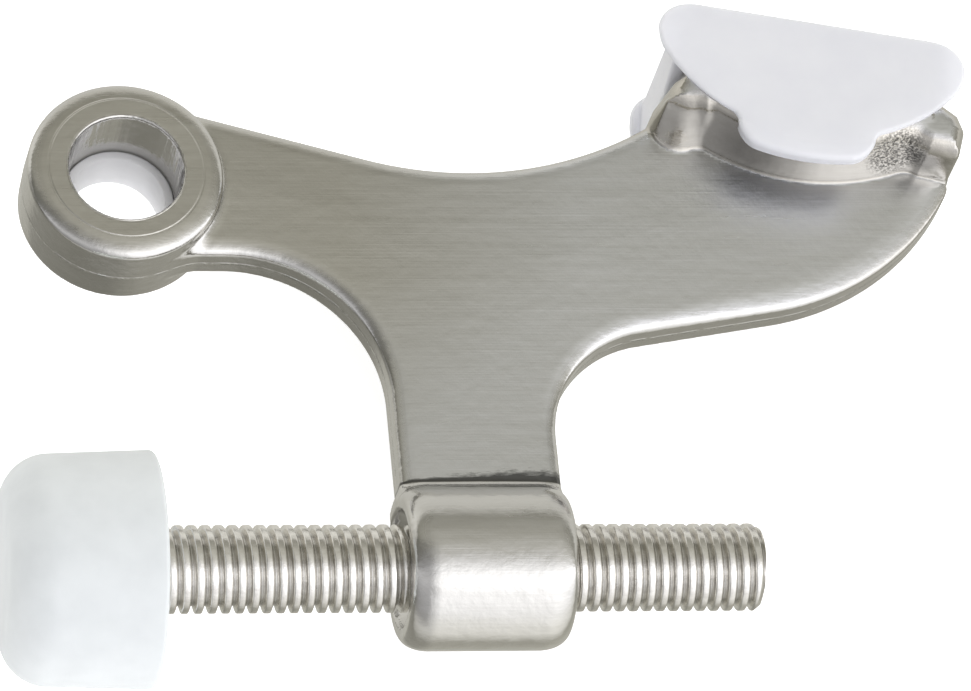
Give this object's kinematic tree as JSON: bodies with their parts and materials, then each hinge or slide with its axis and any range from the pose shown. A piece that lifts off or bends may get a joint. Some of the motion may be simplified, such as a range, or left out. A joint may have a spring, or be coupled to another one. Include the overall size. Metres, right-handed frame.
{
  "type": "hinge-pin door stop",
  "caption": "Cast arm that hangs on a hinge's pin by an eye with a nylon bush, with a screw-adjusted rubber bumper and a tilted foot under a soft clip-on pad.",
  "frame": {"origin": "on the hinge pin's axis, at the lower face of the bush", "axes": "+Z along the hinge pin, upwards in use; +X along the rod, from its bumper to its free end; +Y from the rod towards the foot pad"},
  "size_m": [0.0928, 0.065, 0.0215],
  "materials": {
    "satin_nickel": "satin nickel plate over a die casting",
    "nylon": "smooth white nylon",
    "plated_steel": "rolled thread, nickel plated",
    "white_rubber": "smooth white rubber",
    "soft_pad": "soft translucent plastic"
  },
  "bodies": {
    "arm": {"body_casting": "satin_nickel", "hinge_pin_bush": "nylon", "foot_pad": "soft_pad"},
    "bumper": {"rod_bumper": "white_rubber"},
    "rod": {"adjusting_rod": "plated_steel"}
  },
  "joints": [
    {"name": "rod_advance", "type": "slide", "parent": "arm", "child": "bumper", "axis": [1, 0, 0], "range_m": [-0.017, 0.022]},
    {"name": "rod_turn", "type": "hinge", "parent": "bumper", "child": "rod", "pos_m": [0, -0.03865, 0.0067], "axis": [1, 0, 0], "range_deg": [-4950, 6400]}
  ],
  "couplings": [
    {"joint": "rod_turn", "follows": "rod_advance", "rad_per_m": 5026.5}
  ]
}
